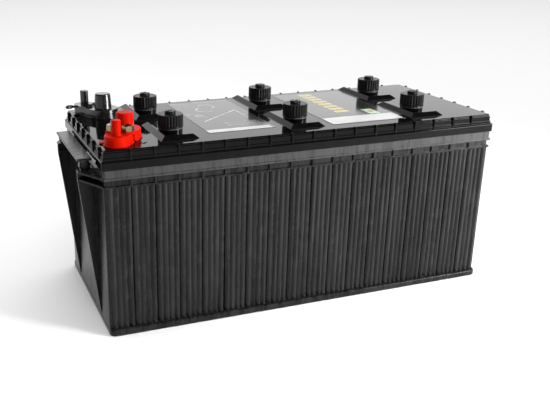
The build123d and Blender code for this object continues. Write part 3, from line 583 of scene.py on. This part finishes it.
def screw_thread(root: float, crest: float, low: float, high: float, pitch: float,
                 steps: int = 32) -> bmesh.types.BMesh:
    """A helical ridge with closed ends.

    Args:
        root: radius at the ridge's foot.
        crest: radius at its top.
        low: height where it starts.
        high: height where it ends.
        pitch: height of one turn.
        steps: steps in one turn.

    Returns:
        The ridge about the origin's vertical.
    """
    shape = bmesh.new()
    half = pitch * 0.42
    turns = (high - low - 2 * half) / pitch
    flat = 0.25 * half
    section = [(root, -half), (crest, -flat), (crest, flat), (root, half)]
    points = [shape.verts.new((radius, 0.0, low + half + height)) for radius, height in section]
    edges = [shape.edges.new((points[i], points[(i + 1) % len(points)])) for i in range(len(points))]
    count = round(turns * steps)
    bmesh.ops.spin(shape, geom=points + edges, cent=(0, 0, 0), axis=(0, 0, 1), dvec=(0, 0, pitch / steps),
                   angle=math.tau * count / steps, steps=count, use_merge=False)
    bmesh.ops.remove_doubles(shape, verts=shape.verts, dist=0.001 * MM)
    ends = [edge for edge in shape.edges if edge.is_boundary]
    bmesh.ops.holes_fill(shape, edges=ends, sides=len(section))
    bmesh.ops.recalc_face_normals(shape, faces=shape.faces)
    return shape


def clean_copy(node: str) -> bmesh.types.BMesh:
    """A node's mesh with its loose triangles joined into whole flat faces.

    Args:
        node: the node's name.

    Returns:
        The joined shape.
    """
    shape = bmesh.new()
    shape.from_mesh(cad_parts[node].data)
    bmesh.ops.remove_doubles(shape, verts=shape.verts, dist=0.002 * MM)
    bmesh.ops.dissolve_degenerate(shape, edges=shape.edges, dist=0.002 * MM)
    bmesh.ops.dissolve_limit(shape, angle_limit=math.radians(0.3), verts=shape.verts, edges=shape.edges)
    return shape


def soften_edges(shape: bmesh.types.BMesh, radius: float, segments: int, over: float = 24.0,
                 chosen: Callable[[bmesh.types.BMEdge], bool] = lambda edge: True) -> None:
    """Rounds the hard edges of a shape, as a mould's corners are.

    Args:
        shape: the shape to change.
        radius: width of the rounding.
        segments: segments across it.
        over: edges that turn more than this many degrees are rounded.
        chosen: says whether an edge may be rounded.
    """
    limit = math.radians(over)
    edges = [
        edge for edge in shape.edges
        if edge.is_manifold and edge.calc_face_angle(0.0) > limit and chosen(edge)
    ]
    bmesh.ops.bevel(shape, geom=edges, offset=radius, offset_type="OFFSET", affect="EDGES", segments=segments,
                    profile=0.5, clamp_overlap=False, material=-1, miter_outer="SHARP", miter_inner="SHARP")


def softened_node(node: str, name: str, finish: Finish, body: str, radius: float,
                  segments: int = 2, over: float = 24.0) -> bpy.types.Object:
    """A node's shape with rounded edges, which then stands for the node.

    Args:
        node: the node it stands for.
        name: the piece's name.
        finish: its finish.
        body: the body it rides on.
        radius: width of the rounding.
        segments: segments across it.
        over: edges that turn more than this many degrees are rounded.

    Returns:
        The new piece.
    """
    shape = clean_copy(node)
    soften_edges(shape, radius, segments, over)
    piece = finished_piece(shape, name, finish, body)
    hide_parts(node)
    return piece


def dress(node: str, finish: Finish) -> None:
    """Gives a carried-over node its finish.

    Args:
        node: the node's name.
        finish: the finish.
    """
    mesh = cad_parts[node].data
    mesh.materials.clear()
    mesh.materials.append(material_of(finish))


# ---- The box and what stands on it ---------------------------------------------------------
@dataclass
class Casing:
    """Container, cover and the two lifting bars."""

    body: str = "battery"
    wall_edge: float = 0.35 * MM
    cover_edge: float = 0.3 * MM
    bar_edge: float = 0.7 * MM

    def build(self) -> None:
        """Makes the container, the cover and the bars."""
        softened_node("container", "ribbed_container", CASE_PLASTIC, self.body, self.wall_edge)
        softened_node("cover", "stepped_cover", COVER_PLASTIC, self.body, self.cover_edge)
        for end in ("left", "right"):
            softened_node(f"lifting_bar_{end}", f"grip_bar_{end}", BAR_PLASTIC, self.body,
                          self.bar_edge, segments=3)


@dataclass
class VentPlug:
    """One screw-in vent plug: ribbed cap with its thread, gasket and baffle."""

    number: int
    grip_radius: float = 15.5 * MM
    ring_height: float = 1.8 * MM
    cap_height: float = 16.0 * MM
    rib_count: int = 26
    rib_depth: float = 0.95 * MM
    steps_per_rib: int = 8
    roof: float = 2.0 * MM
    button_radius: float = 6.6 * MM
    slot_width: float = 2.3 * MM
    slot_depth: float = 1.6 * MM
    stem_radius: float = 10.65 * MM
    stem_wall: float = 1.6 * MM
    thread_depth: float = 0.7 * MM
    thread_pitch: float = 3.0 * MM
    edge: float = 0.5 * MM

    def profile(self) -> list[Point]:
        """Outline from the stem's inside, round the stem, ring and grip, to the button's middle.

        Returns:
            Radius and height of each point, height 0 at the underside of the ring.
        """
        low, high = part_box(f"vent_cap_{self.number}")
        floor_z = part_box(f"vent_gasket_{self.number}")[1][2]
        ring_radius = (high[0] - low[0]) / 2
        bottom, button_top = low[2] - floor_z, high[2] - floor_z
        root = self.stem_radius - self.thread_depth
        bore = self.stem_radius - self.stem_wall
        grip, top, edge = self.grip_radius, self.cap_height, self.edge
        ring_top = self.ring_height
        foot = grip - 0.9 * MM
        ceiling = top - self.roof
        points = [(0.0, ceiling), (bore, ceiling), (bore, bottom), (root, bottom), (root, 0.0)]
        points += rounded_corner(ring_radius - edge, edge, edge, -90, 0)
        points += rounded_corner(ring_radius - edge, ring_top - edge, edge, 0, 90)
        points += [(foot, ring_top), (foot, ring_top + edge)]
        points += rounded_corner(grip - edge, ring_top + 2 * edge, edge, -60, 0, 3)
        points += rounded_corner(grip - 2 * edge, top - 2 * edge, 2 * edge, 0, 90, 6)
        points += [(self.button_radius + 2 * edge, top), (self.button_radius + edge, top - 0.35 * edge)]
        points += [(self.button_radius, top), (self.button_radius - 0.2 * edge, button_top - 1.4 * edge)]
        points += rounded_corner(self.button_radius - 1.2 * edge, button_top - edge, edge, 20, 90)
        points.append((0.0, button_top))
        return points

    def carve_ribs(self, shape: bmesh.types.BMesh) -> None:
        """Presses rounded grooves into the grip, fading out at its top and foot.

        Args:
            shape: the turned cap.
        """
        low, high = self.ring_height + self.edge, self.cap_height - self.edge
        for vert in shape.verts:
            radius = math.hypot(vert.co.x, vert.co.y)
            if low < vert.co.z < high and radius > self.grip_radius - 1.2 * self.edge:
                turn = math.atan2(vert.co.y, vert.co.x) * self.rib_count
                groove = (0.5 - 0.5 * math.cos(turn)) ** 1.6
                share = (radius - self.rib_depth * groove) / radius
                vert.co.x *= share
                vert.co.y *= share

    def slotted(self, shape: bmesh.types.BMesh) -> bmesh.types.BMesh:
        """Cuts the screwdriver slot across the button.

        Args:
            shape: the cap, used up by this call.

        Returns:
            The cap with its slot.
        """
        top = max(vert.co.z for vert in shape.verts)
        cutter = bmesh.new()
        bmesh.ops.create_cube(cutter, size=1.0)
        size = (2.6 * self.button_radius, self.slot_width, 2 * self.slot_depth)
        bmesh.ops.scale(cutter, vec=size, verts=cutter.verts)
        bmesh.ops.translate(cutter, vec=(0, 0, top), verts=cutter.verts)
        pair = []
        for name, part in (("cap_blank", shape), ("slot_cutter", cutter)):
            mesh = bpy.data.meshes.new(name)
            part.to_mesh(mesh)
            part.free()
            pair.append(bpy.data.objects.new(name, mesh))
            bpy.context.scene.collection.objects.link(pair[-1])
        blank, knife = pair
        cut = blank.modifiers.new("slot", "BOOLEAN")
        cut.operation, cut.solver, cut.object = "DIFFERENCE", "EXACT", knife
        view = bpy.context.evaluated_depsgraph_get()
        result = bmesh.new()
        result.from_mesh(blank.evaluated_get(view).to_mesh())
        for used in pair:
            bpy.data.meshes.remove(used.data)
        return result

    def build(self) -> None:
        """Makes the cap, and dresses its gasket and baffle."""
        low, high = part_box(f"vent_cap_{self.number}")
        floor_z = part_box(f"vent_gasket_{self.number}")[1][2]
        shape = turned(self.profile(), self.rib_count * self.steps_per_rib)
        self.carve_ribs(shape)
        shape = self.slotted(shape)
        root = self.stem_radius - self.thread_depth
        thread = screw_thread(root - 0.1 * MM, self.stem_radius, low[2] - floor_z + 0.4 * MM, -0.3 * MM,
                              self.thread_pitch, 48)
        cap = joined([shape, thread])
        turn = Matrix.Rotation(math.radians(37.0 * self.number), 4, "Z")
        centre = ((low[0] + high[0]) / 2, (low[1] + high[1]) / 2, floor_z)
        bmesh.ops.transform(cap, matrix=Matrix.Translation(centre) @ turn, verts=cap.verts)
        body = f"vent_plug_{self.number}"
        piece = finished_piece(cap, f"ribbed_cap_{self.number}", CAP_PLASTIC, body)
        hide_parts(f"vent_cap_{self.number}")
        dress(f"vent_gasket_{self.number}", RUBBER)
        dress(f"vent_baffle_{self.number}", BAFFLE_PLASTIC)


@dataclass
class Terminal:
    """One lead terminal, its threaded stud and the protector over them."""

    polarity: Polarity
    body: str = "battery"
    lead_edge: float = 0.5 * MM
    vinyl_edge: float = 0.5 * MM
    thread_depth: float = 0.6 * MM
    thread_pitch: float = 1.41 * MM
    chamfer: float = 0.7 * MM
    loop_outer: float = 5.5 * MM        # radii of the loop that pulls the negative protector off
    loop_inner: float = 2.8 * MM
    loop_thickness: float = 1.8 * MM
    loop_reach: float = 21.5 * MM       # its centre from the stud along X
    loop_drop: float = 8.0 * MM         # and towards the post
    loop_rise: float = 9.6 * MM         # its underside above the cover
    loop_tilt: float = -32.0            # how far it is twisted about X, in degrees
    loop_edge: float = 0.4 * MM         # bevel on its edges
    loop_steps: int = 40                # flat sides round it
    neck_width: float = 4.0 * MM        # strip from the loop towards the tray
    neck_share: float = 0.9             # its thickness, as a share of the loop's
    neck_overlap: float = 0.6 * MM      # how far it runs into the loop
    neck_short: float = 10.0 * MM       # how much shorter it is than the way from loop to stud centre

    def build_loop(self) -> None:
        """Makes the pull loop on the tray's rim."""
        low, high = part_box(f"stud_{self.polarity.value}")
        middle = Vector(((low[0] + high[0]) / 2, (low[1] + high[1]) / 2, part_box("protector_negative")[0][2]))
        top, edge = self.loop_thickness, self.loop_edge
        ring = turned([(self.loop_inner, edge), (self.loop_inner, top - edge), (self.loop_inner + edge, top),
                       (self.loop_outer - edge, top), (self.loop_outer, top - edge), (self.loop_outer, edge),
                       (self.loop_outer - edge, 0.0), (self.loop_inner + edge, 0.0),
                       (self.loop_inner, edge)], self.loop_steps)
        neck = bmesh.new()
        length = self.loop_reach - self.loop_outer - self.neck_short
        bmesh.ops.create_cube(neck, size=1.0)
        bmesh.ops.scale(neck, vec=(length, self.neck_width, self.loop_thickness * self.neck_share),
                        verts=neck.verts)
        start = self.loop_outer - self.neck_overlap
        bmesh.ops.translate(neck, vec=(start + length / 2, 0.0, self.loop_thickness / 2), verts=neck.verts)
        loop = joined([ring, neck])
        bmesh.ops.rotate(loop, cent=(0, 0, 0), matrix=Matrix.Rotation(math.radians(self.loop_tilt), 3, "X"),
                         verts=loop.verts)
        place = middle + Vector((-self.loop_reach, -self.loop_drop, self.loop_rise))
        bmesh.ops.translate(loop, vec=place, verts=loop.verts)
        finished_piece(loop, "pull_loop", BLACK_VINYL, "protector_negative")

    def build_stud(self) -> None:
        """Makes the stud with a real thread."""
        node = f"stud_{self.polarity.value}"
        low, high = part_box(node)
        radius = (high[0] - low[0]) / 2
        root, height = radius - self.thread_depth, high[2] - low[2]
        core = turned([(0.0, 0.0), (root, 0.0), (root, height - self.chamfer),
                       (root - self.chamfer, height), (0.0, height)], 32)
        thread = screw_thread(root - 0.05 * MM, radius, 0.0, height - self.chamfer, self.thread_pitch)
        stud = joined([core, thread])
        centre = ((low[0] + high[0]) / 2, (low[1] + high[1]) / 2, low[2])
        bmesh.ops.translate(stud, vec=centre, verts=stud.verts)
        piece = finished_piece(stud, f"threaded_stud_{self.polarity.value}", STUD_STEEL, self.body)
        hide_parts(node)

    def build(self) -> None:
        """Makes the terminal, the stud and the protector."""
        end = self.polarity.value
        softened_node(f"terminal_{end}", f"lead_terminal_{end}", CAST_LEAD, self.body,
                      self.lead_edge, segments=3)
        self.build_stud()
        positive = self.polarity is Polarity.POSITIVE
        softened_node(f"protector_{end}", f"soft_protector_{end}", RED_VINYL if positive else BLACK_VINYL,
                      f"protector_{end}", self.vinyl_edge, segments=3)
        if positive:
            softened_node("stored_nuts", "hexagon_nuts", NUT_ZINC, "protector_positive",
                          0.25 * MM, segments=2)
        else:
            self.build_loop()


# ---- Labels --------------------------------------------------------------------------------
@dataclass
class CoverLabel:
    """Clear-coated film on the cover with plain generic marks printed on it."""

    node: str
    ink: float = 0.06 * MM
    stroke: float = 1.7 * MM
    sunk: float = 0.02 * MM
    body: str = "battery"

    def place(self, across: float, along: float) -> Vector:
        """A point on the film from shares of its size.

        Args:
            across: 0 at the film's left edge, 1 at its right.
            along: 0 at its front edge, 1 at its back.

        Returns:
            The point, just under the film's top face.
        """
        low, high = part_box(self.node)
        return Vector((low[0] + across * (high[0] - low[0]), low[1] + along * (high[1] - low[1]),
                       high[2] - self.sunk))

    def raised(self, shape: bmesh.types.BMesh) -> bmesh.types.BMesh:
        """Gives a flat shape the thickness of the ink.

        Args:
            shape: flat faces just under the film's top.

        Returns:
            The same shape, closed.
        """
        bmesh.ops.recalc_face_normals(shape, faces=shape.faces)
        grown = bmesh.ops.extrude_face_region(shape, geom=list(shape.faces), use_keep_orig=True)
        tops = [item for item in grown["geom"] if isinstance(item, bmesh.types.BMVert)]
        bmesh.ops.translate(shape, vec=(0, 0, self.ink + self.sunk), verts=tops)
        bmesh.ops.recalc_face_normals(shape, faces=shape.faces)
        return shape

    def line(self, start: Vector, end: Vector, width: float) -> bmesh.types.BMesh:
        """A straight printed line.

        Args:
            start: first end.
            end: second end.
            width: width of the line.

        Returns:
            The closed shape.
        """
        shape = bmesh.new()
        side = (end - start).normalized().cross(Vector((0, 0, 1))) * width / 2
        first = [shape.verts.new(start + side), shape.verts.new(start - side)]
        edge = shape.edges.new(first)
        swept = bmesh.ops.extrude_edge_only(shape, edges=[edge])
        moved = [item for item in swept["geom"] if isinstance(item, bmesh.types.BMVert)]
        bmesh.ops.translate(shape, vec=end - start, verts=moved)
        return self.raised(shape)

    def arc(self, centre: Vector, radius: float, start: float, turn: float,
            width: float) -> bmesh.types.BMesh:
        """A printed arc or ring.

        Args:
            centre: middle of the arc.
            radius: radius of its middle line.
            start: first angle in degrees.
            turn: angle it covers in degrees.
            width: width of the line.

        Returns:
            The closed shape.
        """
        shape = bmesh.new()
        way = Matrix.Rotation(math.radians(start), 3, "Z") @ Vector((1, 0, 0))
        ends = [shape.verts.new(centre + way * (radius + side * width / 2)) for side in (-1, 1)]
        edge = shape.edges.new(ends)
        bmesh.ops.spin(shape, geom=[*ends, edge], cent=centre, axis=(0, 0, 1), angle=math.radians(turn),
                       steps=max(6, round(turn / 8)), use_merge=turn >= 360)
        bmesh.ops.remove_doubles(shape, verts=shape.verts, dist=0.001 * MM)
        return self.raised(shape)

    def panel(self, low: Vector, high: Vector, corner: float) -> bmesh.types.BMesh:
        """A printed rectangle with rounded corners.

        Args:
            low: front left corner.
            high: back right corner.
            corner: radius of its corners.

        Returns:
            The closed shape.
        """
        shape = bmesh.new()
        bmesh.ops.create_grid(shape, x_segments=1, y_segments=1, size=0.5)
        bmesh.ops.scale(shape, vec=(high.x - low.x, high.y - low.y, 1.0), verts=shape.verts)
        bmesh.ops.translate(shape, vec=(low + high) / 2, verts=shape.verts)
        bmesh.ops.bevel(shape, geom=list(shape.verts), offset=corner, offset_type="OFFSET", affect="VERTICES",
                        segments=4, profile=0.5, material=-1)
        return self.raised(shape)

    def printed(self, name: str, shapes: Iterable[bmesh.types.BMesh], finish: Finish) -> None:
        """Makes one colour of the print.

        Args:
            name: the piece's name.
            shapes: what is printed in this colour.
            finish: the ink.
        """
        finished_piece(joined(shapes), name, finish, self.body)

    def build_left(self) -> None:
        """Prints the left film: thin generic outlines and a blank strip near the front."""
        at, stroke = self.place, self.stroke
        outlines = [
            self.line(at(0.04, 0.965), at(0.30, 0.90), stroke * 0.8),
            self.line(at(0.40, 0.975), at(0.95, 0.955), stroke * 0.8),
            self.arc(at(0.50, 0.80), 12 * MM, -70, 200, stroke * 0.8),
            self.arc(at(0.42, 0.70), 12 * MM, 110, 200, stroke * 0.8),
            self.line(at(0.16, 0.33), at(0.84, 0.62), stroke),
            self.line(at(0.84, 0.62), at(0.86, 0.36), stroke * 0.8),
            self.arc(at(0.20, 0.52), 4.5 * MM, 0, 360, stroke * 0.8),
            self.line(at(0.05, 0.60), at(0.30, 0.46), stroke * 0.6),
        ]
        self.printed("outline_print_left", outlines, WHITE_INK)
        strip = [self.panel(at(0.01, 0.005), at(0.95, 0.08), 0.6 * MM)]
        self.printed("strip_print_left", strip, WHITE_INK)
        rules = [self.line(at(0.40, y), at(0.90, y), 0.5 * MM) for y in (0.16, 0.19, 0.22, 0.25)]
        self.printed("rule_print_left", rules, GREY_INK)

    def build_right(self) -> None:
        """Prints the right film: plain band of bars, data strip and a small sticker."""
        at = self.place
        bars = [self.panel(at(0.33, y), at(0.52, y + 0.062), 2.0 * MM) for y in
                (0.31 + i * 0.083 for i in range(8))]
        self.printed("bar_print_right", bars, YELLOW_INK)
        self.printed("strip_print_right", [self.panel(at(0.01, 0.016), at(0.97, 0.18), 1.0 * MM)], WHITE_INK)
        rules = [self.line(at(0.06, y), at(0.06 + length, y), 0.8 * MM)
                 for y, length in ((0.06, 0.36), (0.10, 0.5), (0.14, 0.28))]
        for rule in rules:
            bmesh.ops.translate(rule, vec=(0, 0, self.ink), verts=rule.verts)
        self.printed("rule_print_right", rules, GREY_INK)
        self.printed("sticker_right", [self.panel(at(0.70, 0.20), at(0.84, 0.34), 1.5 * MM)], GREEN_INK)
        spot = self.arc(at(0.77, 0.27), 2.6 * MM, 0, 360, 3.6 * MM)
        bmesh.ops.translate(spot, vec=(0, 0, self.ink), verts=spot.verts)
        self.printed("sticker_spot_right", [spot], YELLOW_INK)

    def build(self) -> None:
        """Dresses the film and prints it."""
        dress(self.node, LABEL_FILM)
        if self.node.endswith("left"):
            self.build_left()
        else:
            self.build_right()


@dataclass
class CellElements:
    """Plates, separators and welds, which stay out of sight in the cells."""

    def build(self) -> None:
        """Dresses the nodes of the six cells."""
        for number in CELLS:
            dress(f"positive_plates_{number}", PLATE_OXIDE)
            dress(f"negative_plates_{number}", PLATE_LEAD)
            dress(f"separators_{number}", SEPARATOR)
        dress("cell_welds", CAST_LEAD)


# ---- Studio --------------------------------------------------------------------------------
@dataclass
class Studio:
    """Pale floor, soft light and the camera."""

    eye: tuple[float, float, float] = (-0.440, -0.929, 0.468)
    heading: float = -19.72             # degrees from +Y, turning towards -X
    elevation: float = 19.95
    roll: float = -0.10
    lens: float = 51.26
    sideways: float = 0.135
    floor_size: float = 30.0
    floor_colour: Colour = (0.92, 0.92, 0.92)
    bright_way: Colour = (0.42, 0.75, -0.95)
    front_glow: float = 0.05            # brightness of the room against that way
    back_glow: float = 1.6              # and along it
    fade_start: float = -0.45           # where the change between the two starts along that way
    fade_end: float = 0.4               # and where it ends

    def build_floor(self) -> None:
        """Makes the pale floor."""
        shape = bmesh.new()
        bmesh.ops.create_grid(shape, x_segments=1, y_segments=1, size=self.floor_size / 2)
        mesh = bpy.data.meshes.new("studio_floor")
        shape.to_mesh(mesh)
        shape.free()
        sheet = NodeSheet("studio_paper")
        paper = sheet.finish(Base_Color=self.floor_colour, Roughness=0.9, Specular_IOR_Level=0.1)
        mesh.materials.append(paper)
        floor = bpy.data.objects.new("studio_floor", mesh)
        bpy.context.scene.collection.objects.link(floor)

    def build_world(self) -> None:
        """Makes the soft white surroundings, darker towards the front, the left and overhead."""
        world = bpy.data.worlds.new("soft_room")
        world.use_nodes = True
        nodes, links = world.node_tree.nodes, world.node_tree.links
        place = nodes.new("ShaderNodeTexCoord")
        towards = nodes.new("ShaderNodeVectorMath")
        towards.operation = "DOT_PRODUCT"
        links.new(place.outputs["Generated"], towards.inputs[0])
        towards.inputs[1].default_value = self.bright_way
        fade = nodes.new("ShaderNodeMapRange")
        links.new(towards.outputs["Value"], fade.inputs["Value"])
        fade.inputs["From Min"].default_value = self.fade_start
        fade.inputs["From Max"].default_value = self.fade_end
        fade.inputs["To Min"].default_value = self.front_glow
        fade.inputs["To Max"].default_value = self.back_glow
        back = nodes["Background"]
        back.inputs["Color"].default_value = (1.0, 1.0, 1.0, 1.0)
        links.new(fade.outputs["Result"], back.inputs["Strength"])
        bpy.context.scene.world = world

    def build_light(self, name: str, place: Sequence[float], aim: Sequence[float], size: float,
                    power: float, mirrored: bool = True, spread: float = 180.0) -> None:
        """Makes one soft lamp.

        Args:
            name: the lamp's name.
            place: where it stands.
            aim: the point it faces.
            size: side of its square face.
            power: power in watts.
            mirrored: whether it shows in glossy surfaces.
            spread: full angle of its beam in degrees.
        """
        data = bpy.data.lights.new(name, "AREA")
        data.size, data.energy, data.spread = size, power, math.radians(spread)
        lamp = bpy.data.objects.new(name, data)
        lamp.location = place
        lamp.visible_glossy = mirrored
        lamp.rotation_euler = (Vector(aim) - Vector(place)).to_track_quat("-Z", "Y").to_euler()
        bpy.context.scene.collection.objects.link(lamp)

    def build_camera(self) -> None:
        """Makes the camera."""
        data = bpy.data.cameras.new("camera")
        data.lens, data.sensor_width, data.shift_x = self.lens, 36.0, self.sideways
        camera = bpy.data.objects.new("camera", data)
        turn, rise = math.radians(self.heading), math.radians(self.elevation)
        back = Vector((math.sin(turn) * math.cos(rise), -math.cos(turn) * math.cos(rise), math.sin(rise)))
        facing = (-back).to_track_quat("-Z", "Y").to_matrix().to_4x4()
        camera.matrix_world = (Matrix.Translation(self.eye) @ facing
                               @ Matrix.Rotation(math.radians(self.roll), 4, "Z"))
        bpy.context.scene.collection.objects.link(camera)
        bpy.context.scene.camera = camera

    def build(self) -> None:
        """Makes the whole studio."""
        self.build_floor()
        self.build_world()
        self.build_light("overhead", (0.0, 0.0, 6.0), (0.0, 0.0, 0.0), 12.0, 620.0, mirrored=False)
        self.build_light("edge_glint", (-0.35, -1.5, 2.0), (0.0, 0.0, 0.2), 0.6, 6.0)
        self.build_light("side_right", (1.2, -1.05, 0.4), (0.2, -0.1, 0.13), 0.6, 9.5, spread=60.0)
        self.build_light("side_left", (-1.7, -0.5, 0.5), (-0.2, 0.0, 0.12), 0.35, 1.2)
        self.build_camera()
        bpy.context.scene.view_settings.view_transform = "Standard"


def main() -> None:
    """Builds every sub-assembly and reports it."""
    logging.basicConfig(level=logging.INFO, format="%(message)s")
    Studio().build()
    Casing().build()
    for number in CELLS:
        VentPlug(number).build()
    for polarity in Polarity:
        Terminal(polarity).build()
    for node in ("label_left", "label_right"):
        CoverLabel(node).build()
    CellElements().build()


if __name__ == "__main__":
    main()
